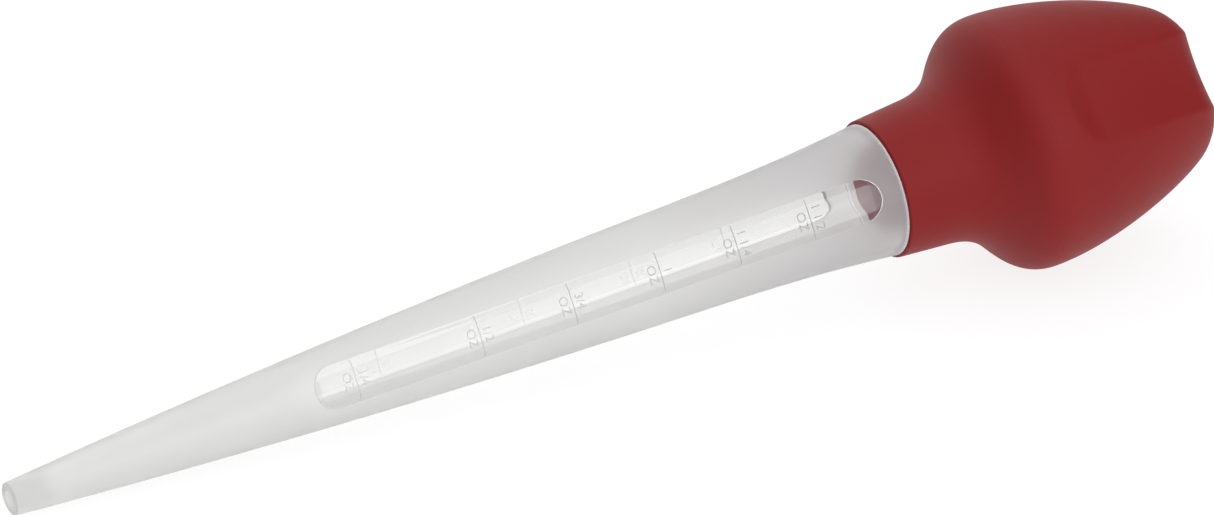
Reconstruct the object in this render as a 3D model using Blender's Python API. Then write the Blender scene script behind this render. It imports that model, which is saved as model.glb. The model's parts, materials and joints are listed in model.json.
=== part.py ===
"""A turkey baster: a frosted, tapered tube with a clear graduated window on each side, and
the silicone bulb that pulls off its neck. It lies on its tip and on the bulb's widest ring.
Metres, +Z up, with the origin under the middle of the object.

Every piece is drawn in one frame of its own, with X along the tube from the tip to the bulb.
A profile is a list of (along, radius) points in that frame, turned about X. An empty then
tilts the whole baster to the angle at which it rests on a table.
"""

from math import atan2, cos, pi, radians, sin, sqrt, tau

import bmesh
import bpy
from mathutils import Matrix, Vector

# Turned shapes
SIDES = 40  # flats around a turned piece, one of which lies straight down
ROUND_TO_FLATS = 1 / cos(pi / SIDES)  # so that each flat touches the true circle
GAP = 0.0003  # left between pieces that touch

# Tube
TUBE_WALL = 0.0017
TIP_BORE_RADIUS = 0.0020
TIP_RADIUS = 0.00395
TIP_ROUNDING = 0.0006
TIP_SLOPE = 0.079  # how fast the radius grows behind the tip
WAIST_ALONG = 0.1730  # where the taper ends and the flare to the shoulder begins
WAIST_RADIUS = 0.01274
WAIST_SLOPE = 0.0245
SHOULDER_ALONG = 0.2252
SHOULDER_RADIUS = 0.0158
SHOULDER_SLOPE = 0.109
SHOULDER_ROUNDING = 0.0007

# Spigot, the neck that the bulb grips
SPIGOT_RADIUS = 0.0139
SPIGOT_LENGTH = 0.0190
SPIGOT_WALL = 0.0019
SPIGOT_ROUNDING = 0.0006
BEAD_HEIGHT = 0.0004
BEAD_HALF_LENGTH = 0.0014
BEAD_PLACES = (0.0060, 0.0125)  # from the shoulder

# Windows
WINDOW_START = 0.0751
WINDOW_END = 0.2197
WINDOW_WIDTH = 0.0101
WINDOW_ROLL = radians(27.0)  # up from -Y, about the tube
CUTTER_BOTTOM = 0.0015  # both heights are from the tube's axis
CUTTER_TOP = 0.0200

# Bulb
BULB_WALL = 0.0025
BULB_MOUTH_RADIUS = SPIGOT_RADIUS + BEAD_HEIGHT + GAP
LIP_RADIUS = 0.01650
LIP_ROUNDING = 0.00055
NECK_END = 0.2383
NECK_END_RADIUS = 0.01748
BELLY_ALONG = 0.26122
BELLY_RADIUS = 0.03046
TAIL_ALONG = 0.30267  # where the side rounds over into the flat end
TAIL_RADIUS = 0.01911
TAIL_ANGLE = radians(31.7)
TAIL_ROUNDING = 0.0125
MOUTH_DEPTH = 0.0195  # the straight part of the bulb's mouth, from its lip

# Thumb dishes, one on each side of the bulb
DISH_ROLL = radians(36.8)
DISH_START = 0.2655
DISH_RUN = 0.0070  # from the start to where the dish has its full depth
DISH_HALF_WIDTH = 0.0093
DISH_SAG = 0.0013  # how far the dish's floor hangs below a flat cut of the same width
DISH_TURN_RADIUS = 0.0120  # inside this radius, the dish narrows towards the bulb's axis

# Colour, roughness, and how much light passes through
FROSTED = ((0.78, 0.78, 0.76, 1.0), 0.55, 0.35)
CLEAR = ((0.90, 0.90, 0.89, 1.0), 0.12, 0.85)
SILICONE = ((0.27, 0.026, 0.027, 1.0), 0.50, 0.0)


def arc(centre, radius, start, end, steps):
    """Points of a round stretch. Angles are from the along direction towards the radius."""
    angles = [start + (end - start) * step / steps for step in range(steps + 1)]
    return [centre + radius * Vector((cos(angle), sin(angle))) for angle in angles]


def curve(start, start_reach, end, end_reach, steps):
    """Points of a Bezier curve that leaves start along one reach and arrives along the other."""
    handles = start + start_reach, end - end_reach
    points = []
    for step in range(steps + 1):
        t = step / steps
        ends = (1 - t) ** 3 * start + t**3 * end
        middle = 3 * t * (1 - t) ** 2 * handles[0] + 3 * t**2 * (1 - t) * handles[1]
        points.append(ends + middle)
    return points


def reach(slope, length):
    """A curve's handle: length along the axis, at this slope."""
    return Vector((length, slope * length))


def tube_outside():
    """From the tip's face to the foot of the shoulder."""
    tip_corner = Vector((TIP_ROUNDING, TIP_RADIUS - TIP_ROUNDING))
    waist = Vector((WAIST_ALONG, WAIST_RADIUS))
    rim_centre = Vector((SHOULDER_ALONG - SHOULDER_ROUNDING, SHOULDER_RADIUS - SHOULDER_ROUNDING))
    rim_turn = pi / 2 + atan2(SHOULDER_SLOPE, 1)
    rim = arc(rim_centre, SHOULDER_ROUNDING, rim_turn, 0, 4)
    points = arc(tip_corner, TIP_ROUNDING, pi, pi / 2, 3)
    points += curve(points.pop(), reach(TIP_SLOPE, 0.0599), waist, reach(WAIST_SLOPE, 0.0554), 14)
    points.pop()
    points += curve(waist, reach(WAIST_SLOPE, 0.0196), rim[0], reach(SHOULDER_SLOPE, 0.0181), 7)
    return points + rim[1:]


def spigot_outside():
    """From the foot of the shoulder to the spigot's open end, over its low beads."""
    points = [Vector((SHOULDER_ALONG, SPIGOT_RADIUS))]
    for place in BEAD_PLACES:
        middle = SHOULDER_ALONG + place
        points.append(Vector((middle - BEAD_HALF_LENGTH, SPIGOT_RADIUS)))
        points.append(Vector((middle, SPIGOT_RADIUS + BEAD_HEIGHT)))
        points.append(Vector((middle + BEAD_HALF_LENGTH, SPIGOT_RADIUS)))
    spigot_end = SHOULDER_ALONG + SPIGOT_LENGTH
    corner = Vector((spigot_end - SPIGOT_ROUNDING, SPIGOT_RADIUS - SPIGOT_ROUNDING))
    return points + arc(corner, SPIGOT_ROUNDING, pi / 2, 0, 3)


def tube_bore():
    """The inside, from the spigot's open end back to the tip."""
    mouth = Vector((SHOULDER_ALONG + SPIGOT_LENGTH, SPIGOT_RADIUS - SPIGOT_WALL))
    waist = Vector((WAIST_ALONG, WAIST_RADIUS - TUBE_WALL))
    tip = Vector((0, TIP_BORE_RADIUS))
    taper = curve(tip, reach(TIP_SLOPE, 0.0599), waist, reach(WAIST_SLOPE, 0.0554), 11)
    return [mouth, *reversed(taper)]


def bulb_outside():
    """From the lip of the neck to the middle of the flat end."""
    lip_corner = Vector((SHOULDER_ALONG + GAP + LIP_ROUNDING, LIP_RADIUS - LIP_ROUNDING))
    neck_end = Vector((NECK_END, NECK_END_RADIUS))
    belly = Vector((BELLY_ALONG, BELLY_RADIUS))
    tail = Vector((TAIL_ALONG, TAIL_RADIUS))
    tail_inward = Vector((-sin(TAIL_ANGLE), -cos(TAIL_ANGLE)))
    tail_slope = -sin(TAIL_ANGLE) / cos(TAIL_ANGLE)
    points = arc(lip_corner, LIP_ROUNDING, pi, pi / 2, 3)
    neck_slope = (neck_end.y - points[-1].y) / (neck_end.x - points[-1].x)
    points += curve(neck_end, reach(neck_slope, 0.0142), belly, reach(0, 0.01065), 16)
    points.pop()
    points += curve(belly, reach(0, 0.01439), tail, reach(tail_slope, 0.00767), 14)
    centre = tail + TAIL_ROUNDING * tail_inward
    points += arc(centre, TAIL_ROUNDING, pi / 2 - TAIL_ANGLE, 0, 6)[1:]
    return [*points, Vector((points[-1].x, 0))]


def bulb_inside():
    """The hollow, from the middle of its end back to the lip, one wall inside the skin."""
    mouth_corner = Vector((SHOULDER_ALONG + GAP + MOUTH_DEPTH, BULB_MOUTH_RADIUS))
    belly = Vector((BELLY_ALONG, BELLY_RADIUS - BULB_WALL))
    tail_inward = Vector((-sin(TAIL_ANGLE), -cos(TAIL_ANGLE)))
    tail_slope = -sin(TAIL_ANGLE) / cos(TAIL_ANGLE)
    tail = Vector((TAIL_ALONG, TAIL_RADIUS)) + BULB_WALL * tail_inward
    centre = tail + (TAIL_ROUNDING - BULB_WALL) * tail_inward
    points = [Vector((SHOULDER_ALONG + GAP, BULB_MOUTH_RADIUS))]
    points += curve(mouth_corner, reach(0.6, 0.0045), belly, reach(0, 0.0070), 6)
    points.pop()
    points += curve(belly, reach(0, 0.0135), tail, reach(tail_slope, 0.0075), 6)
    points += arc(centre, TAIL_ROUNDING - BULB_WALL, pi / 2 - TAIL_ANGLE, 0, 3)[1:]
    points.append(Vector((points[-1].x, 0)))
    return points[::-1]


def turned(name, profile):
    """A mesh of the closed profile turned about X, with a flat at its lowest side."""
    model = bmesh.new()
    start = Matrix.Rotation(pi / SIDES, 3, "X")
    points = [start @ Vector((p.x, 0, -p.y * ROUND_TO_FLATS)) for p in profile]
    corners = [model.verts.new(point) for point in points]
    edges = [model.edges.new(pair) for pair in zip(corners, corners[1:])]
    if profile[0].y > 0:
        edges.append(model.edges.new((corners[-1], corners[0])))
    bmesh.ops.spin(
        model,
        geom=corners + edges,
        cent=(0, 0, 0),
        axis=(1, 0, 0),
        angle=tau,
        steps=SIDES,
        use_merge=True,
    )
    bmesh.ops.remove_doubles(model, verts=model.verts, dist=1e-6)
    bmesh.ops.recalc_face_normals(model, faces=model.faces)
    mesh = bpy.data.meshes.new(name)
    model.to_mesh(mesh)
    model.free()
    return mesh


def roll_direction(roll):
    """The outward direction at this roll: 0 is towards -Y, and 90 degrees is up."""
    return Vector((0, -cos(roll), sin(roll)))


def dish_floor(radius, along, across):
    """How high the dish's floor lies over the axis, where the round skin has this radius. It
    sags between its two long edges, and it climbs out to the skin where the dish starts."""
    chord = radius * sqrt(1 - (DISH_HALF_WIDTH / max(radius, DISH_TURN_RADIUS)) ** 2)
    sag = DISH_SAG * min(radius / DISH_TURN_RADIUS, 1)
    climb = max(1 - (along - DISH_START) / DISH_RUN, 0) ** 2
    middle = chord - sag
    return middle + sag * (across / DISH_HALF_WIDTH) ** 2 + (radius - middle) * climb


def press_dish(mesh, roll):
    """Cuts a long shallow dish into the bulb's skin on one side, open at the flat end, and
    pushes the hollow in with it."""
    outward = roll_direction(roll)
    sideways = outward.cross(Vector((1, 0, 0)))
    for vertex in mesh.vertices:
        height = vertex.co.dot(outward)
        across = vertex.co.dot(sideways)
        if height > 0:
            floor = dish_floor(sqrt(height**2 + across**2), vertex.co.x, across)
            vertex.co += outward * min(floor - height, 0)


def stadium_cutter(name, roll, margin):
    """A long prism with round ends, standing out from the tube's axis at this roll. The margin
    is how much smaller it is than the window opening, all round."""
    model = bmesh.new()
    radius = WINDOW_WIDTH / 2 - margin
    outline = []
    for along, turn in ((WINDOW_END - WINDOW_WIDTH / 2, -pi / 2), (WINDOW_START + WINDOW_WIDTH / 2, pi / 2)):
        outline += arc(Vector((along, 0)), radius, turn, turn + pi, 8)
    foot = model.faces.new([model.verts.new((p.x, p.y, CUTTER_BOTTOM)) for p in outline])
    raised = bmesh.ops.extrude_face_region(model, geom=[foot])["geom"]
    top_corners = [item for item in raised if isinstance(item, bmesh.types.BMVert)]
    bmesh.ops.translate(model, verts=top_corners, vec=(0, 0, CUTTER_TOP - CUTTER_BOTTOM))
    bmesh.ops.recalc_face_normals(model, faces=model.faces)
    mesh = bpy.data.meshes.new(name)
    model.to_mesh(mesh)
    model.free()
    cutter = bpy.data.objects.new(name, mesh)
    cutter.rotation_euler.x = pi / 2 - roll
    cutter.hide_render = True
    cutter.display_type = "WIRE"
    return cutter


def add_boolean(obj, cutter, operation):
    boolean = obj.modifiers.new(cutter.name, "BOOLEAN")
    boolean.operation = operation
    boolean.solver = "EXACT"
    boolean.object = cutter


def material(name, colour, roughness, transmission):
    finish = bpy.data.materials.new(name)
    finish.use_nodes = True
    shader = finish.node_tree.nodes["Principled BSDF"]
    shader.inputs["Base Color"].default_value = colour
    shader.inputs["Roughness"].default_value = roughness
    shader.inputs["Metallic"].default_value = 0.0
    shader.inputs["Transmission Weight"].default_value = transmission
    return finish


def add_piece(name, mesh, finish, baster):
    mesh.shade_smooth()
    mesh.set_sharp_from_angle(angle=radians(35))
    mesh.materials.append(finish)
    piece = bpy.data.objects.new(name, mesh)
    piece.parent = baster
    bpy.context.scene.collection.objects.link(piece)
    return piece


def add_cutter(cutter, baster):
    cutter.parent = baster
    bpy.context.scene.collection.objects.link(cutter)
    return cutter


def resting_angle():
    """The tilt at which the tip and the bulb's belly touch one flat surface."""
    return max(
        atan2(point.y - TIP_RADIUS, point.x - TIP_ROUNDING)
        for point in bulb_outside()
        if point.x > NECK_END
    )


def stand_on_floor(baster, pieces):
    """Moves the baster so that its box stands on Z = 0, centred on the origin."""
    bpy.context.view_layer.update()
    graph = bpy.context.evaluated_depsgraph_get()
    corners = []
    for piece in pieces:
        solid = piece.evaluated_get(graph)
        corners += [solid.matrix_world @ vertex.co for vertex in solid.data.vertices]
    lowest = Vector([min(corner[axis] for corner in corners) for axis in range(3)])
    highest = Vector([max(corner[axis] for corner in corners) for axis in range(3)])
    middle = (lowest + highest) / 2
    baster.location = (-middle.x, -middle.y, -lowest.z)


def build():
    for obj in list(bpy.data.objects):
        bpy.data.objects.remove(obj)
    baster = bpy.data.objects.new("baster", None)
    baster.rotation_euler.y = -resting_angle()
    bpy.context.scene.collection.objects.link(baster)

    frosted = material("frosted_plastic", *FROSTED)
    clear = material("clear_plastic", *CLEAR)
    silicone = material("silicone", *SILICONE)

    tube_profile = tube_outside() + spigot_outside() + tube_bore()
    barrel = add_piece("barrel", turned("barrel", tube_profile), frosted, baster)
    pieces = [barrel]
    for side, turn in (("front", 0), ("rear", pi)):
        roll = WINDOW_ROLL + turn
        opening = add_cutter(stadium_cutter(f"opening_{side}", roll, 0), baster)
        add_boolean(barrel, opening, "DIFFERENCE")
        name = f"window_{side}"
        window = add_piece(name, turned(name, tube_profile), clear, baster)
        outline = add_cutter(stadium_cutter(f"outline_{side}", roll, GAP), baster)
        add_boolean(window, outline, "INTERSECT")
        pieces.append(window)

    bulb_mesh = turned("squeeze_bulb", bulb_outside() + bulb_inside()[1:])
    for turn in (0, pi):
        press_dish(bulb_mesh, DISH_ROLL + turn)
    pieces.append(add_piece("squeeze_bulb", bulb_mesh, silicone, baster))
    stand_on_floor(baster, pieces)


build()
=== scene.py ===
"""The looks of the turkey baster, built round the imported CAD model.

The pieces are drawn in the baster's own frame, as the CAD's were: X runs along the tube from
the tip to the bulb, and a profile is a list of (along, radius) points turned about X. Metres.
"""

import json
from math import atan2, cos, pi, radians, sin, sqrt, tau

import bmesh
import bpy
from mathutils import Matrix, Vector


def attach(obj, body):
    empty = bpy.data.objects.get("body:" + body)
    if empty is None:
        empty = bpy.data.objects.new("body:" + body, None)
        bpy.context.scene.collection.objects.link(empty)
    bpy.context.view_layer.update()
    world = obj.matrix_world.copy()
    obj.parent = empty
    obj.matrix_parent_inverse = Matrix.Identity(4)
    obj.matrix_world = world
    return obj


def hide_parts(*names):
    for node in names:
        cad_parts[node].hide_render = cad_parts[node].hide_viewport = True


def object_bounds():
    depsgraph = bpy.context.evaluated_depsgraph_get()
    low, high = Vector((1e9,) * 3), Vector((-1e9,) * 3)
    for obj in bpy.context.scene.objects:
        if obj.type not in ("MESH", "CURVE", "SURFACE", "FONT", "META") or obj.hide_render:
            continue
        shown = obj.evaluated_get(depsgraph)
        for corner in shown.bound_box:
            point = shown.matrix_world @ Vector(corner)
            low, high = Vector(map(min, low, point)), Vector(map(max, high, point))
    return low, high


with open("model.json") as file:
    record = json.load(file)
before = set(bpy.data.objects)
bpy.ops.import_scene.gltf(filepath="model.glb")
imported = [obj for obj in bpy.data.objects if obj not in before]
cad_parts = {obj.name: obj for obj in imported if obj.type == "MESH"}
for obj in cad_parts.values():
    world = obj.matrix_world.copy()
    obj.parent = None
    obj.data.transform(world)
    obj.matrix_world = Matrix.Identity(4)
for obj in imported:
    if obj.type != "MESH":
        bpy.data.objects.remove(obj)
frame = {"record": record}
cad_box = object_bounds()

# Meshes
SHARP_ANGLE = radians(40)  # an edge that turns more than this stays sharp
MERGE_DISTANCE = 1e-7

# Where each finish stands in its piece's list of materials
FROSTED, POLISHED, HIGHLIGHT_RIM, OPENING_WALL, MILKY_GLOW = range(5)  # the barrel's
CURVED, FLAT, STRIP_WALL = range(3)  # a clear strip's
OUTSIDE, HOLLOW = range(2)  # the bulb's

# Tube
TUBE_WALL = 0.0017
TIP_BORE_RADIUS = 0.0020
TIP_RADIUS = 0.00395
TIP_ROUNDING = 0.0006
BORE_ROUNDING = 0.0004
TIP_SLOPE = 0.079
WAIST_ALONG = 0.1730
WAIST_RADIUS = 0.01274
WAIST_SLOPE = 0.0245
SHOULDER_ALONG = 0.2252
SHOULDER_RADIUS = 0.0158
SHOULDER_SLOPE = 0.109
SHOULDER_ROUNDING = 0.0003
TAPER_REACHES = (0.0599, 0.0554)  # of the curve's handles, from the tip to the waist
FLARE_REACHES = (0.0196, 0.0181)  # and from the waist to the shoulder
SHOULDER_SHADE_START = 0.160  # from here to the shoulder the frosted skin is painted greyer, as painted shade
TUBE_SIDES = 144
SKIN_DEPTH = 0.00025  # a face deeper than this in the wall isn't skin
FACE_SLACK = 1e-5  # so that a face across the axis counts as past the place where it stands
MATT_BORE_LENGTH = 0.0100  # how far the bore is frosted too, from the tip

# Spigot
SPIGOT_RADIUS = 0.0139
SPIGOT_LENGTH = 0.0190
SPIGOT_WALL = 0.0019
SPIGOT_ROUNDING = 0.0006
COLLAR_LENGTH = 0.0015  # of the milky ring with its painted glow, at the spigot's foot
BEAD_HEIGHT = 0.0004
BEAD_HALF_LENGTH = 0.0014
BEAD_PLACES = (0.0060, 0.0125)
BEAD_STEPS = 8

# Windows
WINDOW_START = 0.0751
WINDOW_END = 0.2197
WINDOW_WIDTH = 0.0101
WINDOW_ROLLS = {"front": radians(27.0), "rear": radians(27.0) + pi}
WINDOW_SINK = 0.00004  # how far the clear strip lies below the frosted skin
WINDOW_SEAM = 0.00002  # the hairline between the strip and the barrel
PANEL_HALF_WIDTH = 0.0031  # half of the flat along the strip's middle
PANEL_SHARE = 0.8  # the most of the strip's width that the flat takes, at its round ends
PANEL_EDGE = 0.0016  # how far the turn from the flat to the curved margin reaches
RIM_HALF_WIDTHS = {"front": 0.00013, "rear": 0.00028}  # of the bead round a window
RIM_SIDE_SHARE = 0.15  # along the straight sides the bead is this share as wide and high
RIM_HEIGHT = 0.00005
RIM_ROOT = 0.00012  # how deep the bead's foot is sunk
RIM_SHARP_ANGLE = radians(60)
CUTTER_FOOT = 0.0015  # from the axis to the near face of the prism that cuts an opening
CUTTER_LENGTH = 0.0200
CUTTER_STEPS = 32
PANEL_STEPS = 8
MARGIN_STEPS = 8
STRIP_STEPS = MARGIN_STEPS + PANEL_STEPS + MARGIN_STEPS
END_STEPS = 16
STRAIGHT_STEPS = 60
RIM_ROUND_STEPS = 36
RIM_STRAIGHT_STEPS = 60
RIM_SECTION_STEPS = 6

# Scales: the along place of each line on the front window, and its number. The rear window
# counts in millilitres, and its lines are worked out from the bore.
OUNCES = (
    (0.0854, "1/4"),
    (0.1169, "1/2"),
    (0.1405, "3/4"),
    (0.1631, "1"),
    (0.1828, "1 1/4"),
    (0.2018, "1 1/2"),
)
MILLILITRES = (10, 20, 30, 40)
MILLILITRES_PER_CUBIC_METRE = 1e6
LINE_HALF_LENGTH = 0.0047
LINE_HALF_WIDTH = 0.00010
LINE_TOP_SHARE = 0.7  # of a line's width, how much its top keeps
LINE_STEPS = 20
MARK_HEIGHTS = (0.000014, 0.00010)  # at the window's start and at its end
MARK_ROOT = 0.00004  # how deep a mark's foot is sunk
REAR_RELIEF = 0.15  # the rear scale's marks are this share as high
LETTER_SIZE = 0.0031
CAPITAL_SHARE = 0.70  # of the font's size, the height of its capitals
LETTER_THINNING = 0.00003
LETTER_GAP = 0.0009  # between a line and its letters
LETTER_STEPS = 4
MARK_SHARP_ANGLE = radians(30)

# Bulb
LIP_GAP = 0.0001
BULB_WALL = 0.0025
BULB_MOUTH_RADIUS = SPIGOT_RADIUS + BEAD_HEIGHT + LIP_GAP
LIP_RADIUS = 0.01650
LIP_ROUNDING = 0.0004
NECK_END = 0.2383
NECK_END_RADIUS = 0.01748
BELLY_ALONG = 0.26122
BELLY_RADIUS = 0.03046
TAIL_ALONG = 0.30267
TAIL_RADIUS = 0.01911
TAIL_ANGLE = radians(31.7)
TAIL_SLOPE = -sin(TAIL_ANGLE) / cos(TAIL_ANGLE)
TAIL_INWARD = Vector((-sin(TAIL_ANGLE), -cos(TAIL_ANGLE)))
TAIL_ROUNDING = 0.0125
NECK_REACHES = (0.0142, 0.01065)  # of the curve's handles, from the neck to the belly
SIDE_REACHES = (0.01439, 0.00767)  # and from the belly to the tail
MOUTH_DEPTH = 0.0195
MOUTH_SLOPE = 0.6  # how fast the hollow widens beyond the spigot's seat
HOLLOW_NECK_REACHES = (0.0045, 0.0070)
HOLLOW_SIDE_REACHES = (0.0135, 0.0075)
BULB_SIDES = 300
BULB_SHARP_ANGLE = radians(50)
PARTING_ALONG = 0.2585  # the fine groove that the mould's halves leave round the belly
PARTING_HALF_WIDTH = 0.00020
PARTING_DEPTH = 0.000025
PARTING_STEPS = 4

# Thumb dishes, one on each side of the bulb
DISH_ROLL = radians(36.8)
DISH_START = 0.2655
DISH_RUN = 0.0070  # from the start to where the dish has its full depth
DISH_HALF_WIDTH = 0.0093
DISH_SAG = 0.0013  # how far the dish's floor hangs below a flat cut of the same width
DISH_TURN_RADIUS = 0.0120  # inside this radius, the dish narrows towards the bulb's axis
DISH_EDGE = 0.0006  # how soft the dish's edge is

# Materials
WHITE = (1, 1, 1, 1)
PLASTIC_IOR = 1.49
SILICONE_IOR = 1.43

# Camera and studio
CAMERA_AZIMUTH = radians(-28.9)
CAMERA_ELEVATION = radians(27.35)
CAMERA_LENS = 600.0
CAMERA_SENSOR = 36.0
CAMERA_RANGE = 200.0
PICTURE_WIDTH = 0.2768  # of the plane through the baster's middle
AIM_ALONG = 0.1568
AIM_LEFT = 0.0020
AIM_UP = 0.0057
FLOOR_HALF_SIZE = 40.0
FLOOR_GREY = 0.20
FLOOR_GLOW = 0.84
SOFTBOX_DIRECTION = Vector((0.346, -0.857, 0.382))
SOFTBOX_DISTANCE = 1.2
SOFTBOX_SIZE = 0.6
SOFTBOX_POWER = 1.5
WORLD_LIGHT = 1.51  # straight above, and in front of and behind the baster
WORLD_LIGHT_AT_SIDES = 0.08  # beyond its two ends
WORLD_FADE_END = 0.68  # the square of a direction's sideways share, where it is down to that


def placement():
    """The matrix from the baster's own frame to the world, from the record's axis and mount."""
    record = frame["record"]
    axis = Vector(record["behaviour"]["joints"][0]["axis"]).normalized()
    mounts = {mount["name"]: Vector(mount["pos_m"]) for mount in record["mounts"]}
    across = Vector((0, 1, 0))
    tip = mounts["bulb_end"] - bulb_outside()[-1].x * axis
    turn = Matrix((axis, across, axis.cross(across))).transposed()
    return Matrix.Translation(tip) @ turn.to_4x4()


def arc(centre, radius, start, end, steps):
    """Points of a round stretch. Angles are from the along direction towards the radius."""
    angles = [start + (end - start) * step / steps for step in range(steps + 1)]
    return [centre + radius * Vector((cos(angle), sin(angle))) for angle in angles]


def curve(start, start_slope, end, end_slope, reaches, steps):
    """Points of a Bezier curve with these slopes at its ends. The reaches are how far its two
    handles go along the axis."""
    first = start + Vector((reaches[0], start_slope * reaches[0]))
    second = end - Vector((reaches[1], end_slope * reaches[1]))
    points = []
    for step in range(steps + 1):
        t = step / steps
        ends = (1 - t) ** 3 * start + t**3 * end
        middle = 3 * t * (1 - t) ** 2 * first + 3 * t**2 * (1 - t) * second
        points.append(ends + middle)
    return points


def straight(start, end, steps):
    """Points of a straight stretch."""
    return [start.lerp(end, step / steps) for step in range(steps + 1)]


def joined(*stretches):
    """One list of points from stretches whose ends meet."""
    points = list(stretches[0])
    for stretch in stretches[1:]:
        points += stretch[1:]
    return points


def tube_skin():
    """The outside from the tip's face to the foot of the shoulder."""
    tip_corner = Vector((TIP_ROUNDING, TIP_RADIUS - TIP_ROUNDING))
    waist = Vector((WAIST_ALONG, WAIST_RADIUS))
    rim_centre = Vector((SHOULDER_ALONG - SHOULDER_ROUNDING, SHOULDER_RADIUS - SHOULDER_ROUNDING))
    rim_turn = pi / 2 + atan2(SHOULDER_SLOPE, 1)
    tip = arc(tip_corner, TIP_ROUNDING, pi, pi / 2, steps=8)
    rim = arc(rim_centre, SHOULDER_ROUNDING, rim_turn, 0, steps=10)
    taper = curve(tip[-1], TIP_SLOPE, waist, WAIST_SLOPE, TAPER_REACHES, steps=60)
    flare = curve(waist, WAIST_SLOPE, rim[0], SHOULDER_SLOPE, FLARE_REACHES, steps=20)
    return joined(tip, taper, flare, rim)


def spigot_skin():
    """From the foot of the shoulder to the spigot's open end, over its low beads."""
    points = [Vector((SHOULDER_ALONG + place, SPIGOT_RADIUS)) for place in (0, COLLAR_LENGTH)]
    for place in BEAD_PLACES:
        for step in range(BEAD_STEPS + 1):
            share = 2 * step / BEAD_STEPS - 1
            swell = BEAD_HEIGHT * cos(share * pi / 2) ** 2
            along = SHOULDER_ALONG + place + share * BEAD_HALF_LENGTH
            points.append(Vector((along, SPIGOT_RADIUS + swell)))
    spigot_end = SHOULDER_ALONG + SPIGOT_LENGTH
    corner = Vector((spigot_end - SPIGOT_ROUNDING, SPIGOT_RADIUS - SPIGOT_ROUNDING))
    return points + arc(corner, SPIGOT_ROUNDING, pi / 2, 0, steps=6)


def tube_bore():
    """The inside, from the tip's face to the spigot's open end."""
    tip_corner = Vector((BORE_ROUNDING, TIP_BORE_RADIUS + BORE_ROUNDING))
    waist = Vector((WAIST_ALONG, WAIST_RADIUS - TUBE_WALL))
    mouth = Vector((SHOULDER_ALONG + SPIGOT_LENGTH, SPIGOT_RADIUS - SPIGOT_WALL))
    tip = arc(tip_corner, BORE_ROUNDING, pi, 3 * pi / 2, steps=5)
    taper = curve(tip[-1], TIP_SLOPE, waist, WAIST_SLOPE, TAPER_REACHES, steps=40)
    return [*joined(tip, taper), mouth]


def bulb_outside():
    """From the lip of the neck to the middle of the flat end."""
    lip_corner = Vector((SHOULDER_ALONG + LIP_GAP + LIP_ROUNDING, LIP_RADIUS - LIP_ROUNDING))
    neck_end = Vector((NECK_END, NECK_END_RADIUS))
    belly = Vector((BELLY_ALONG, BELLY_RADIUS))
    tail = Vector((TAIL_ALONG, TAIL_RADIUS))
    tail_centre = tail + TAIL_ROUNDING * TAIL_INWARD
    lip = arc(lip_corner, LIP_ROUNDING, pi, pi / 2, steps=8)
    neck_slope = (neck_end.y - lip[-1].y) / (neck_end.x - lip[-1].x)
    neck = straight(lip[-1], neck_end, steps=8)
    shoulder = curve(neck_end, neck_slope, belly, 0, NECK_REACHES, steps=36)
    side = curve(belly, 0, tail, TAIL_SLOPE, SIDE_REACHES, steps=72)
    tail_end = arc(tail_centre, TAIL_ROUNDING, pi / 2 - TAIL_ANGLE, 0, steps=24)
    flat = straight(tail_end[-1], Vector((tail_end[-1].x, 0)), steps=5)
    return joined(with_parting_line(joined(lip, neck, shoulder, side)), tail_end, flat)


def with_parting_line(profile):
    """The same profile with the mould's parting line in it, a fine groove."""
    groove = []
    for step in range(PARTING_STEPS + 1):
        share = 2 * step / PARTING_STEPS - 1
        along = PARTING_ALONG + share * PARTING_HALF_WIDTH
        depth = PARTING_DEPTH * cos(share * pi / 2)
        groove.append(Vector((along, radius_at(profile, along) - depth)))
    before = [point for point in profile if point.x < groove[0].x]
    return before + groove + [point for point in profile if point.x > groove[-1].x]


def bulb_inside():
    """The hollow, from the lip to the middle of its end, one wall inside the skin."""
    lip = Vector((SHOULDER_ALONG + LIP_GAP, BULB_MOUTH_RADIUS))
    seat_end = Vector((SHOULDER_ALONG + LIP_GAP + MOUTH_DEPTH, BULB_MOUTH_RADIUS))
    belly = Vector((BELLY_ALONG, BELLY_RADIUS - BULB_WALL))
    tail = Vector((TAIL_ALONG, TAIL_RADIUS)) + BULB_WALL * TAIL_INWARD
    tail_rounding = TAIL_ROUNDING - BULB_WALL
    tail_centre = tail + tail_rounding * TAIL_INWARD
    neck = straight(lip, seat_end, steps=6)
    shoulder = curve(seat_end, MOUTH_SLOPE, belly, 0, HOLLOW_NECK_REACHES, steps=18)
    side = curve(belly, 0, tail, TAIL_SLOPE, HOLLOW_SIDE_REACHES, steps=18)
    tail_end = arc(tail_centre, tail_rounding, pi / 2 - TAIL_ANGLE, 0, steps=9)
    flat = straight(tail_end[-1], Vector((tail_end[-1].x, 0)), steps=4)
    return joined(neck, shoulder, side, tail_end, flat)


def radius_at(profile, along):
    """The radius of a profile at a place along it."""
    for start, end in zip(profile, profile[1:]):
        if start.x <= along <= end.x and end.x > start.x:
            return start.y + (end.y - start.y) * (along - start.x) / (end.x - start.x)
    raise ValueError(along)


def roll_direction(roll):
    """The outward direction at this roll: 0 is towards -Y, and 90 degrees is up."""
    return Vector((0, -cos(roll), sin(roll)))


def add_object(name, data):
    """An object with this data, in the scene."""
    thing = bpy.data.objects.new(name, data)
    bpy.context.scene.collection.objects.link(thing)
    return thing


def new_piece(name, mesh, body, slot, *finishes, node=None):
    """Places a mesh drawn in the baster's own frame, and makes it ride on a body."""
    mesh.transform(PLACE)
    for finish in finishes:
        mesh.materials.append(finish)
    piece = add_object(name, mesh)
    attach(piece, body)
    if node:
        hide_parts(node)


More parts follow.
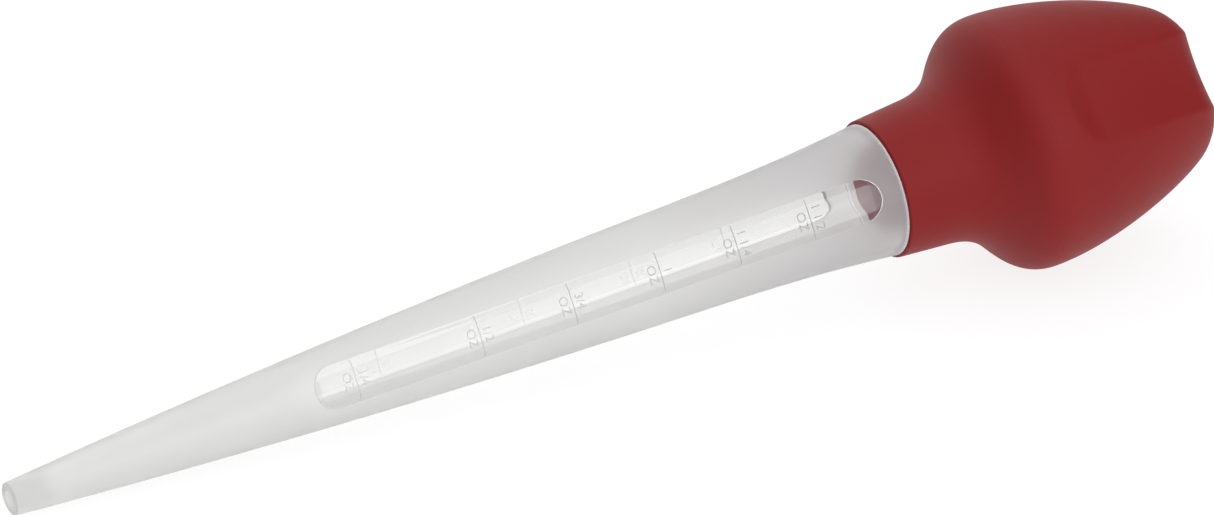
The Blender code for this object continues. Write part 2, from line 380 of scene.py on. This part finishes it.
def evaluated_mesh(thing):
    """A mesh of an object as its modifiers or its font make it."""
    bpy.context.view_layer.update()
    graph = bpy.context.evaluated_depsgraph_get()
    return bpy.data.meshes.new_from_object(thing.evaluated_get(graph))


def smooth(mesh, sharp_angle=SHARP_ANGLE):
    """Smooth shading, but for the edges that turn more than the sharp angle."""
    mesh.shade_smooth()
    mesh.set_sharp_from_angle(angle=sharp_angle)


def finish_mesh(model, name, sharp_angle=SHARP_ANGLE):
    """A smooth shaded mesh from a bmesh, which is freed."""
    bmesh.ops.recalc_face_normals(model, faces=model.faces)
    mesh = bpy.data.meshes.new(name)
    model.to_mesh(mesh)
    model.free()
    smooth(mesh, sharp_angle)
    return mesh


def turned(profile, sides):
    """A bmesh of the profile turned about X. The profile is closed from its end to its start."""
    model = bmesh.new()
    corners = [model.verts.new((point.x, 0, -point.y)) for point in profile]
    edges = [model.edges.new(pair) for pair in zip(corners, corners[1:] + corners[:1])]
    bmesh.ops.spin(
        model,
        geom=corners + edges,
        cent=(0, 0, 0),
        axis=(1, 0, 0),
        angle=tau,
        steps=sides,
        use_merge=True,
    )
    bmesh.ops.remove_doubles(model, verts=model.verts, dist=MERGE_DISTANCE)
    return model


def bridge(model, ring, after):
    """The faces between two rings of corners."""
    for step in range(len(ring)):
        other = (step + 1) % len(ring)
        model.faces.new((ring[step], ring[other], after[other], after[step]))


def stadium_cutter(name, roll):
    """A long prism with round ends that cuts the window opening at this roll."""
    radius = WINDOW_WIDTH / 2
    far_centre = Vector((WINDOW_END - radius, 0))
    near_centre = Vector((WINDOW_START + radius, 0))
    far = arc(far_centre, radius, -pi / 2, pi / 2, CUTTER_STEPS)
    near = arc(near_centre, radius, pi / 2, 3 * pi / 2, CUTTER_STEPS)
    model = bmesh.new()
    corners = [model.verts.new((point.x, point.y, CUTTER_FOOT)) for point in far + near]
    foot = model.faces.new(corners)
    raised = bmesh.ops.extrude_face_region(model, geom=[foot])["geom"]
    top_corners = [item for item in raised if isinstance(item, bmesh.types.BMVert)]
    bmesh.ops.translate(model, verts=top_corners, vec=(0, 0, CUTTER_LENGTH))
    bmesh.ops.rotate(model, verts=model.verts, matrix=Matrix.Rotation(pi / 2 - roll, 3, "X"))
    return add_object(name, finish_mesh(model, name))


def surface_kind(centre):
    """Which of the barrel's finishes the face with this centre has."""
    radius = sqrt(centre.y**2 + centre.z**2)
    if centre.x < MATT_BORE_LENGTH:
        return FROSTED
    if radius < radius_at(BORE, centre.x) + SKIN_DEPTH:
        return POLISHED
    if centre.x > SHOULDER_ALONG - FACE_SLACK:
        return MILKY_GLOW if centre.x < SHOULDER_ALONG + COLLAR_LENGTH else POLISHED
    if radius < radius_at(SKIN, centre.x) - SKIN_DEPTH:
        return OPENING_WALL
    # the shoulder's rounded edge takes the painted highlight
    return HIGHLIGHT_RIM if centre.x > SHOULDER_ALONG - SHOULDER_ROUNDING / 2 else FROSTED


def make_barrel(*finishes):
    """The frosted tube, with both window openings cut through its wall."""
    profile = SKIN + spigot_skin() + BORE[::-1]
    draft = add_object("barrel_draft", finish_mesh(turned(profile, TUBE_SIDES), "barrel_draft"))
    cutters = [stadium_cutter(f"cut_{side}", roll) for side, roll in WINDOW_ROLLS.items()]
    for cutter in cutters:
        boolean = draft.modifiers.new(cutter.name, "BOOLEAN")
        boolean.operation = "DIFFERENCE"
        boolean.solver = "EXACT"
        boolean.object = cutter
    mesh = evaluated_mesh(draft)
    mesh.name = "frosted_barrel"
    for helper in (draft, *cutters):
        bpy.data.objects.remove(helper)
    smooth(mesh)
    for face in mesh.polygons:
        face.material_index = surface_kind(face.center)
    new_piece("frosted_barrel", mesh, "tube", "frosted_plastic", *finishes, node="barrel")


def smooth_least(first, second, softness):
    """The lesser of two heights, with the corner between them rounded."""
    share = max(softness - abs(first - second), 0) / softness
    return min(first, second) - share**2 * softness / 4


def strip_height(along, across, flat=PANEL_HALF_WIDTH):
    """How far the clear strip's outer face is from the tube's axis. Its middle is a flat that
    turns softly into the round margins."""
    radius = radius_at(SKIN, along) - WINDOW_SINK
    on_flat = sqrt(radius**2 - flat**2)
    return smooth_least(on_flat, sqrt(radius**2 - across**2), PANEL_EDGE * flat / radius)


def strip_point(roll, along, across, height):
    """A point over the window at this roll, in the baster's own frame."""
    outward = roll_direction(roll)
    sideways = outward.cross(Vector((1, 0, 0)))
    return Vector((along, 0, 0)) + sideways * across + outward * height


def strip_row(model, roll, along, half):
    """One row of the strip across the tube: its outer corners and its inner ones."""
    flat = min(PANEL_HALF_WIDTH, PANEL_SHARE * half)
    breaks = ((-half, -flat, MARGIN_STEPS), (-flat, flat, PANEL_STEPS), (flat, half, MARGIN_STEPS))
    places = [-half]
    for start, end, steps in breaks:
        places += [start + (end - start) * step / steps for step in range(1, steps + 1)]
    bore = radius_at(BORE, along)
    outer = [strip_point(roll, along, place, strip_height(along, place, flat)) for place in places]
    inner = [strip_point(roll, along, place, sqrt(bore**2 - place**2)) for place in places]
    return [model.verts.new(point) for point in outer], [model.verts.new(point) for point in inner]


def strip_stations(start, end, half):
    """The places of the strip's rows, close together at its round ends."""
    ends = [half * (1 - cos(pi / 2 * step / END_STEPS)) for step in range(1, END_STEPS + 1)]
    length = end - start - 2 * half
    straight_part = [length * step / STRAIGHT_STEPS for step in range(1, STRAIGHT_STEPS)]
    stations = [start + place for place in ends]
    stations += [start + half + place for place in straight_part]
    return stations + [end - place for place in reversed(ends)]


def add_strip_grid(model, rows, middle_finish):
    """The faces between the rows of a strip's outer or inner side."""
    for row, after in zip(rows, rows[1:]):
        for step in range(STRIP_STEPS):
            face = model.faces.new((row[step], row[step + 1], after[step + 1], after[step]))
            in_middle = MARGIN_STEPS <= step < MARGIN_STEPS + PANEL_STEPS
            face.material_index = middle_finish if in_middle else CURVED


def add_strip_wall(model, top, bottom):
    """The faces between a strip's outer edge and its inner edge, along one side."""
    for step in range(len(top) - 1):
        wall = model.faces.new((top[step], top[step + 1], bottom[step + 1], bottom[step]))
        wall.material_index = STRIP_WALL


def make_window(side, *finishes):
    """The clear strip: a grid on its outer face, one on its inner face, and a wall round them."""
    half = WINDOW_WIDTH / 2 - WINDOW_SEAM
    start, end = WINDOW_START + WINDOW_SEAM, WINDOW_END - WINDOW_SEAM
    model = bmesh.new()
    outer, inner = [], []
    for along in strip_stations(start, end, half):
        from_end = min(along - start, end - along, half)
        half_here = sqrt(half**2 - (half - from_end) ** 2)
        outer_row, inner_row = strip_row(model, WINDOW_ROLLS[side], along, half_here)
        outer.append(outer_row)
        inner.append(inner_row)
    add_strip_grid(model, outer, FLAT)
    add_strip_grid(model, inner, CURVED)
    for edge in (0, -1):
        add_strip_wall(model, [row[edge] for row in outer], [row[edge] for row in inner])
        add_strip_wall(model, outer[edge], inner[edge])
    mesh = finish_mesh(model, f"clear_strip_{side}")
    new_piece(mesh.name, mesh, "tube", "clear_plastic", *finishes, node=f"window_{side}")


def stadium_path():
    """The window's outline as (place, outward direction) pairs, both (along, across)."""
    radius = WINDOW_WIDTH / 2
    length = WINDOW_END - WINDOW_START - WINDOW_WIDTH
    path = []
    for along, turn in ((WINDOW_END - radius, -pi / 2), (WINDOW_START + radius, pi / 2)):
        for step in range(RIM_ROUND_STEPS + 1):
            angle = turn + pi * step / RIM_ROUND_STEPS
            outward = Vector((cos(angle), sin(angle)))
            path.append((Vector((along, 0)) + radius * outward, outward))
        for step in range(1, RIM_STRAIGHT_STEPS):
            last, outward = path[-1]
            forward = -1 if outward.y > 0 else 1
            path.append((last + Vector((forward * length / RIM_STRAIGHT_STEPS, 0)), outward))
    return path


def make_rim(side, finish):
    """The fine bead that runs round a window, over the seam between the strip and the barrel."""
    section = [(-1.0, -RIM_ROOT)]
    for step in range(RIM_SECTION_STEPS + 1):
        angle = pi * step / RIM_SECTION_STEPS
        section.append((-cos(angle), RIM_HEIGHT * sin(angle)))
    section.append((1.0, -RIM_ROOT))
    model = bmesh.new()
    rings = []
    for place, outward in stadium_path():
        ring = []
        size = RIM_SIDE_SHARE + (1 - RIM_SIDE_SHARE) * abs(outward.x)
        for share, rise in section:
            point = place + share * size * RIM_HALF_WIDTHS[side] * outward
            height = sqrt(radius_at(SKIN, point.x) ** 2 - point.y**2) + size * rise
            corner = strip_point(WINDOW_ROLLS[side], point.x, point.y, height)
            ring.append(model.verts.new(corner))
        rings.append(ring)
    for ring, after in zip(rings, rings[1:] + rings[:1]):
        bridge(model, ring, after)
    mesh = finish_mesh(model, f"window_rim_{side}", RIM_SHARP_ANGLE)
    new_piece(mesh.name, mesh, "tube", "frosted_plastic", finish)


def mark_height(along):
    """How far a mark stands out of the strip: less towards the tip."""
    share = (along - WINDOW_START) / (WINDOW_END - WINDOW_START)
    return MARK_HEIGHTS[0] + (MARK_HEIGHTS[1] - MARK_HEIGHTS[0]) * share


def add_bar(model, roll, along, relief):
    """A scale line: a low ridge that follows the strip from side to side."""
    height = relief * mark_height(along)
    section = (
        (-LINE_HALF_WIDTH, -MARK_ROOT),
        (-LINE_HALF_WIDTH * LINE_TOP_SHARE, height),
        (LINE_HALF_WIDTH * LINE_TOP_SHARE, height),
        (LINE_HALF_WIDTH, -MARK_ROOT),
    )
    rings = []
    for step in range(LINE_STEPS + 1):
        across = LINE_HALF_LENGTH * (2 * step / LINE_STEPS - 1)
        foot = strip_height(along, across)
        points = [strip_point(roll, along + ahead, across, foot + rise) for ahead, rise in section]
        rings.append([model.verts.new(point) for point in points])
    for ring, after in zip(rings, rings[1:]):
        bridge(model, ring, after)
    model.faces.new(rings[0])
    model.faces.new(rings[-1][::-1])


def letters_mesh(words, height):
    """A mesh of some letters of this height, centred across, with their foot line at 0."""
    font = bpy.data.curves.new("scale_letters", "FONT")
    font.body = words
    font.size = LETTER_SIZE
    font.align_x = "CENTER"
    font.align_y = "BOTTOM_BASELINE"
    font.extrude = (height + MARK_ROOT) / 2
    font.offset = -LETTER_THINNING
    font.resolution_u = LETTER_STEPS
    holder = add_object("scale_letters", font)
    mesh = evaluated_mesh(holder)
    bpy.data.objects.remove(holder)
    return mesh


def add_letters(model, roll, words, foot_along, relief):
    """Letters on the strip, reading across it and upright when the tip points down."""
    mark = relief * mark_height(foot_along)
    mesh = letters_mesh(words, mark)
    for vertex in mesh.vertices:
        rightward, up, height = vertex.co
        along = foot_along + up
        rise = strip_height(along, rightward) + height + (mark - MARK_ROOT) / 2
        vertex.co = strip_point(roll, along, -rightward, rise)
    model.from_mesh(mesh)


def place_of_volume(millilitres):
    """How far along the bore holds this volume, counted from the tip."""
    held = 0
    for start, end in zip(BORE, BORE[1:]):
        volume = pi * ((start.y + end.y) / 2) ** 2 * (end.x - start.x)
        slice_volume = volume * MILLILITRES_PER_CUBIC_METRE
        if held + slice_volume > millilitres:
            return start.x + (end.x - start.x) * (millilitres - held) / slice_volume
        held += slice_volume
    raise ValueError(millilitres)


def make_scale(side, unit, marks, relief, finish):
    """A moulded volume scale: for each volume a line, with its number above and unit below. The
    relief is how high its marks are, as a share of the front scale's."""
    roll = WINDOW_ROLLS[side]
    model = bmesh.new()
    for along, number in marks:
        add_bar(model, roll, along, relief)
        add_letters(model, roll, number, along + LETTER_GAP, relief)
        add_letters(model, roll, unit, along - LETTER_GAP - CAPITAL_SHARE * LETTER_SIZE, relief)
    bmesh.ops.remove_doubles(model, verts=model.verts, dist=MERGE_DISTANCE)
    mesh = finish_mesh(model, f"volume_scale_{side}", MARK_SHARP_ANGLE)
    new_piece(mesh.name, mesh, "tube", "clear_plastic", finish)


def dish_floor(radius, along, across):
    """How high the dish's floor lies over the axis, where the round skin has this radius. It
    sags between its two long edges, and it climbs out to the skin where the dish starts."""
    chord = radius * sqrt(1 - (DISH_HALF_WIDTH / max(radius, DISH_TURN_RADIUS)) ** 2)
    sag = DISH_SAG * min(radius / DISH_TURN_RADIUS, 1)
    climb = max(1 - (along - DISH_START) / DISH_RUN, 0) ** 2
    middle = chord - sag
    return middle + sag * (across / DISH_HALF_WIDTH) ** 2 + (radius - middle) * climb


def press_dish(model, roll):
    """Cuts a long shallow dish into the bulb's skin on one side, and pushes the hollow in too."""
    outward = roll_direction(roll)
    sideways = outward.cross(Vector((1, 0, 0)))
    for vertex in model.verts:
        height = vertex.co.dot(outward)
        across = vertex.co.dot(sideways)
        if height > 0:
            floor = dish_floor(sqrt(height**2 + across**2), vertex.co.x, across)
            softness = min(DISH_EDGE, height)
            vertex.co += outward * (smooth_least(height, floor, softness) - height)


def make_bulb(*finishes):
    """The silicone bulb, skin and hollow in one closed mesh."""
    skin = bulb_outside()
    model = turned(skin + bulb_inside()[::-1], BULB_SIDES)
    for face in model.faces:
        centre = face.calc_center_median()
        radius = sqrt(centre.y**2 + centre.z**2)
        inside = radius < radius_at(skin, centre.x) - BULB_WALL / 3
        past_lip = centre.x > skin[0].x + SKIN_DEPTH
        face.material_index = HOLLOW if inside and past_lip else OUTSIDE
    for turn in (0, pi):
        press_dish(model, DISH_ROLL + turn)
    mesh = finish_mesh(model, "silicone_bulb", BULB_SHARP_ANGLE)
    new_piece("silicone_bulb", mesh, "bulb", "silicone", *finishes, node="squeeze_bulb")


class Shader:
    """A material's node tree, with short ways to add nodes and links."""

    def __init__(self, name):
        self.material = bpy.data.materials.new(name)
        self.material.use_nodes = True
        self.tree = self.material.node_tree
        self.surface = self.tree.nodes["Principled BSDF"]

    def set(self, **values):
        """Sets the surface's inputs, with _ for each space in their names."""
        for name, value in values.items():
            self.surface.inputs[name.replace("_", " ")].default_value = value
        return self

    def node(self, kind, **values):
        """A new node with these input values or settings."""
        node = self.tree.nodes.new(kind)
        for name, value in values.items():
            if name in node.inputs:
                node.inputs[name].default_value = value
            else:
                setattr(node, name, value)
        return node

    def link(self, source, target):
        self.tree.links.new(source, target)

    def feed(self, name, source):
        """Links another node's output to this input of the surface."""
        self.link(source, self.surface.inputs[name])

    def object_place(self):
        """The shaded point. Each mesh is drawn in place, so this is its place in the frame."""
        return self.node("ShaderNodeTexCoord").outputs["Object"]

    def fade_along(self, start, end, low=0.0, high=1.0):
        """A value that goes from low to high between two places along the baster."""
        place = self.node("ShaderNodeSeparateXYZ")
        self.link(self.object_place(), place.inputs["Vector"])
        fade = self.node("ShaderNodeMapRange")
        fade.inputs["From Min"].default_value = (PLACE @ Vector((start, 0, 0))).x
        fade.inputs["From Max"].default_value = (PLACE @ Vector((end, 0, 0))).x
        fade.inputs["To Min"].default_value = low
        fade.inputs["To Max"].default_value = high
        self.link(place.outputs["X"], fade.inputs["Value"])
        return fade.outputs["Result"]

    def noise(self, scale, detail=2.0):
        """A value about 0.5 that drifts in patches about 1 / scale metres across."""
        noise = self.node("ShaderNodeTexNoise", Scale=scale, Detail=detail)
        self.link(self.object_place(), noise.inputs["Vector"])
        return noise.outputs["Fac"]

    def ramp(self, value, low, high):
        """Maps a 0 to 1 value to the range from low to high."""
        ramp = self.node("ShaderNodeMapRange")
        ramp.inputs["To Min"].default_value = low
        ramp.inputs["To Max"].default_value = high
        self.link(value, ramp.inputs["Value"])
        return ramp.outputs["Result"]

    def mix(self, factor, first, second):
        """A mix of two colours, each a triple or another node's output."""
        mix = self.node("ShaderNodeMix", data_type="RGBA")
        self.link(factor, mix.inputs["Factor"])
        sockets = [socket for socket in mix.inputs if socket.type == "RGBA"]
        for socket, colour in zip(sockets, (first, second)):
            if isinstance(colour, tuple):
                socket.default_value = (*colour, 1)
            else:
                self.link(colour, socket)
        return next(socket for socket in mix.outputs if socket.type == "RGBA")

    def tint(self, first, second, scale):
        """A colour that drifts between two, in patches of that scale."""
        return self.mix(self.noise(scale, 4), first, second)

    def paint(self, first, second, scale):
        """Gives the surface a colour that drifts between two."""
        self.feed("Base Color", self.tint(first, second, scale))

    def roughen(self, low, high, scale, detail=2.0):
        """Gives the surface a roughness that drifts between two values."""
        self.feed("Roughness", self.ramp(self.noise(scale, detail), low, high))

    def bump(self, height, distance, strength):
        """A surface relief from a 0 to 1 height that stands for this distance in metres."""
        bump = self.node("ShaderNodeBump", Distance=distance, Strength=strength)
        self.link(height, bump.inputs["Height"])
        self.feed("Normal", bump.outputs["Normal"])


def frosted_plastic():
    """Natural polypropylene with a fine spark-eroded texture: it lets light through, blurred.
    Towards the shoulder it is painted greyer: painted shade, where the bulb darkens the tube. A
    faint painted glow stands for the light inside the wall."""
    shader = Shader("frosted_plastic")
    shader.set(IOR=PLASTIC_IOR, Transmission_Weight=0.70)
    # a faint painted glow, for the light inside the wall
    shader.set(Emission_Color=WHITE, Emission_Strength=0.03)
    plain = shader.tint((0.78, 0.78, 0.77), (0.82, 0.82, 0.81), scale=60)
    # painted shade: greyer towards the shoulder, where the bulb darkens the tube
    shoulder_shade = shader.fade_along(SHOULDER_SHADE_START, SHOULDER_ALONG)
    shader.feed("Base Color", shader.mix(shoulder_shade, plain, (0.62, 0.60, 0.607)))
    shader.roughen(0.46, 0.54, scale=900)
    shader.bump(shader.noise(scale=2600, detail=3), distance=0.00003, strength=0.35)
    return shader.material


def polished_bore():
    """The same plastic where the mould's core was polished."""
    shader = Shader("polished_bore")
    shader.set(Base_Color=(0.97, 0.97, 0.965, 1), IOR=PLASTIC_IOR, Transmission_Weight=1.0)
    shader.roughen(0.04, 0.12, scale=90)
    return shader.material


def bright_rim():
    """Rounded edges of the plastic, painted pale and mostly opaque as a painted highlight,
    for the light that they gather from inside the wall.
    """
    shader = Shader("bright_rim")
    shader.set(IOR=PLASTIC_IOR, Transmission_Weight=0.25)
    shader.paint((0.80, 0.79, 0.80), (0.86, 0.85, 0.86), scale=200)
    shader.roughen(0.20, 0.32, scale=500)
    return shader.material


def milky_collar():
    """The thick ring where the spigot meets the shoulder: milky plastic with a painted glow, which
    stands for the light that the tube's wall carries to it."""
    shader = Shader("milky_collar")
    # painted glow
    shader.set(Emission_Color=WHITE, Emission_Strength=0.30)
    shader.paint((0.90, 0.90, 0.89), (0.95, 0.95, 0.94), scale=200)
    shader.roughen(0.35, 0.45, scale=500)
    return shader.material


def bonded_joint():
    """The walls where a clear strip and the barrel are moulded together. Light crosses them as
    if they weren't there, because both sides are the same plastic."""
    return Shader("bonded_joint").set(Alpha=0.0).material


def clear_plastic(name, smoothest, roughest):
    """A clear strip's curved margins and its inner face."""
    shader = Shader(name)
    shader.set(Base_Color=(0.92, 0.92, 0.915, 1), IOR=PLASTIC_IOR, Transmission_Weight=1.0)
    shader.roughen(smoothest, roughest, scale=120)
    return shader.material


def panel_plastic(name, smoothest, roughest):
    """A clear strip's flat, which has a slight veil."""
    shader = Shader(name)
    shader.set(IOR=PLASTIC_IOR, Transmission_Weight=0.88)
    shader.paint((0.81, 0.81, 0.805), (0.85, 0.85, 0.845), scale=80)
    shader.roughen(smoothest, roughest, scale=120)
    return shader.material


def scale_plastic(name, near_tip, near_bulb):
    """The raised marks, painted greyer and less clear than the strip: painted shade for the light
    that they bend. They fade towards the tip. Each end's value says how clear and how pale the
    marks are there."""
    shader = Shader(name)
    shader.set(IOR=PLASTIC_IOR)
    fade = shader.fade_along(WINDOW_START, WINDOW_END)
    clearness = shader.fade_along(WINDOW_START, WINDOW_END, near_tip, near_bulb)
    shader.feed("Transmission Weight", clearness)
    shader.feed("Base Color", shader.mix(fade, (near_tip,) * 3, (near_bulb,) * 3))
    shader.roughen(0.25, 0.35, scale=500)
    return shader.material


def silicone():
    """Dark red rubber with a matt, slightly dusty skin."""
    shader = Shader("silicone")
    shader.set(IOR=SILICONE_IOR, Specular_IOR_Level=0.19)
    shader.paint((0.216, 0.0115, 0.0125), (0.240, 0.0155, 0.0160), scale=45)
    shader.roughen(0.48, 0.58, scale=260, detail=3)
    shader.bump(shader.noise(scale=3200), distance=0.00003, strength=0.5)
    return shader.material


def silicone_inside():
    """The bulb's hollow, painted a brighter red with a faint glow: painted light for the light
    that soaks through its wall.
    """
    shader = Shader("silicone_inside")
    shader.set(IOR=SILICONE_IOR, Specular_IOR_Level=0.10)
    # painted light: a faint glow and a brighter red, for the light that soaks through the wall
    shader.set(Emission_Color=(0.80, 0.42, 0.60, 1), Emission_Strength=0.068)
    shader.paint((0.52, 0.070, 0.085), (0.60, 0.095, 0.11), scale=45)
    shader.roughen(0.46, 0.58, scale=260, detail=3)
    return shader.material


def make_floor():
    """A light table: a floor that gives off most of its own light, so that the shadow on it
    stays faint."""
    half = FLOOR_HALF_SIZE
    mesh = bpy.data.meshes.new("floor")
    corners = [(-half, -half, 0), (half, -half, 0), (half, half, 0), (-half, half, 0)]
    mesh.from_pydata(corners, [], [(0, 1, 2, 3)])
    shader = Shader("floor")
    shader.set(Base_Color=(FLOOR_GREY, FLOOR_GREY, FLOOR_GREY, 1))
    shader.set(Roughness=0.9, Specular_IOR_Level=0.0)
    shader.set(Emission_Color=WHITE, Emission_Strength=FLOOR_GLOW)
    mesh.materials.append(shader.material)
    add_object("floor", mesh)


def add_light(name, place, aim, size, power):
    """A round area light that the camera doesn't see."""
    light = bpy.data.lights.new(name, "AREA")
    light.shape = "DISK"
    light.size = size
    light.energy = power
    lamp = add_object(name, light)
    lamp.location = place
    lamp.rotation_mode = "QUATERNION"
    lamp.rotation_quaternion = (aim - place).to_track_quat("-Z", "Y")
    lamp.visible_camera = False


def make_world():
    """The studio's light from all round. It is weak where it comes from beyond the baster's two
    ends: its strength falls with the square of a direction's sideways share."""
    world = bpy.data.worlds.new("studio")
    world.use_nodes = True
    nodes, links = world.node_tree.nodes, world.node_tree.links
    direction = nodes.new("ShaderNodeTexCoord").outputs["Generated"]
    sideways = nodes.new("ShaderNodeSeparateXYZ")
    links.new(direction, sideways.inputs["Vector"])
    squared = nodes.new("ShaderNodeMath")
    squared.operation = "MULTIPLY"
    for socket in squared.inputs[:2]:
        links.new(sideways.outputs["X"], socket)
    fade = nodes.new("ShaderNodeMapRange")
    fade.inputs["From Max"].default_value = WORLD_FADE_END
    fade.inputs["To Min"].default_value = WORLD_LIGHT
    fade.inputs["To Max"].default_value = WORLD_LIGHT_AT_SIDES
    links.new(squared.outputs["Value"], fade.inputs["Value"])
    links.new(fade.outputs["Result"], nodes["Background"].inputs["Strength"])
    nodes["Background"].inputs["Color"].default_value = WHITE
    bpy.context.scene.world = world


def make_studio():
    """The world, one large soft light, and plain colours."""
    make_world()
    bpy.context.scene.view_settings.view_transform = "Standard"
    middle = (cad_box[0] + cad_box[1]) / 2
    place = middle + SOFTBOX_DISTANCE * SOFTBOX_DIRECTION
    add_light("softbox", place, middle, SOFTBOX_SIZE, SOFTBOX_POWER)


def make_camera():
    """The camera, far off with a long lens, aimed a little beside the baster."""
    lens = bpy.data.cameras.new("camera")
    lens.lens = CAMERA_LENS
    lens.sensor_width = CAMERA_SENSOR
    lens.clip_end = CAMERA_RANGE
    level = cos(CAMERA_ELEVATION)
    away = Vector(
        (sin(CAMERA_AZIMUTH) * level, -cos(CAMERA_AZIMUTH) * level, sin(CAMERA_ELEVATION))
    )
    turn = (-away).to_track_quat("-Z", "Y")
    aim = PLACE @ Vector((AIM_ALONG, 0, 0)) + turn @ Vector((-AIM_LEFT, AIM_UP, 0))
    distance = PICTURE_WIDTH * CAMERA_LENS / CAMERA_SENSOR
    camera = add_object("camera", lens)
    camera.rotation_mode = "QUATERNION"
    camera.rotation_quaternion = turn
    camera.location = aim + away * distance
    bpy.context.scene.camera = camera


PLACE = placement()
SKIN = tube_skin()
BORE = tube_bore()

make_camera()
make_studio()
make_floor()

rim = bright_rim()
bore_finish = polished_bore()
joint = bonded_joint()
strips = {
    "front": (clear_plastic("front_clear", 0.03, 0.06), panel_plastic("front_panel", 0.03, 0.06)),
    "rear": (clear_plastic("rear_clear", 0.12, 0.18), panel_plastic("rear_panel", 0.14, 0.20)),
}
make_barrel(frosted_plastic(), bore_finish, rim, joint, milky_collar())
for side in WINDOW_ROLLS:
    make_window(side, *strips[side], joint)
# painted shade on the raised marks
front_marks = scale_plastic("front_marks", near_tip=0.93, near_bulb=0.62)
rear_marks = scale_plastic("rear_marks", near_tip=0.98, near_bulb=0.96)
# the front window's bead takes the painted highlight
make_rim("front", rim)
# the rear window's bead takes the marks' painted shade, as a darker line
make_rim("rear", front_marks)
make_scale("front", "OZ", OUNCES, 1.0, front_marks)
metric = [(place_of_volume(volume), str(volume)) for volume in MILLILITRES]
make_scale("rear", "ML", metric, REAR_RELIEF, rear_marks)
make_bulb(silicone(), silicone_inside())
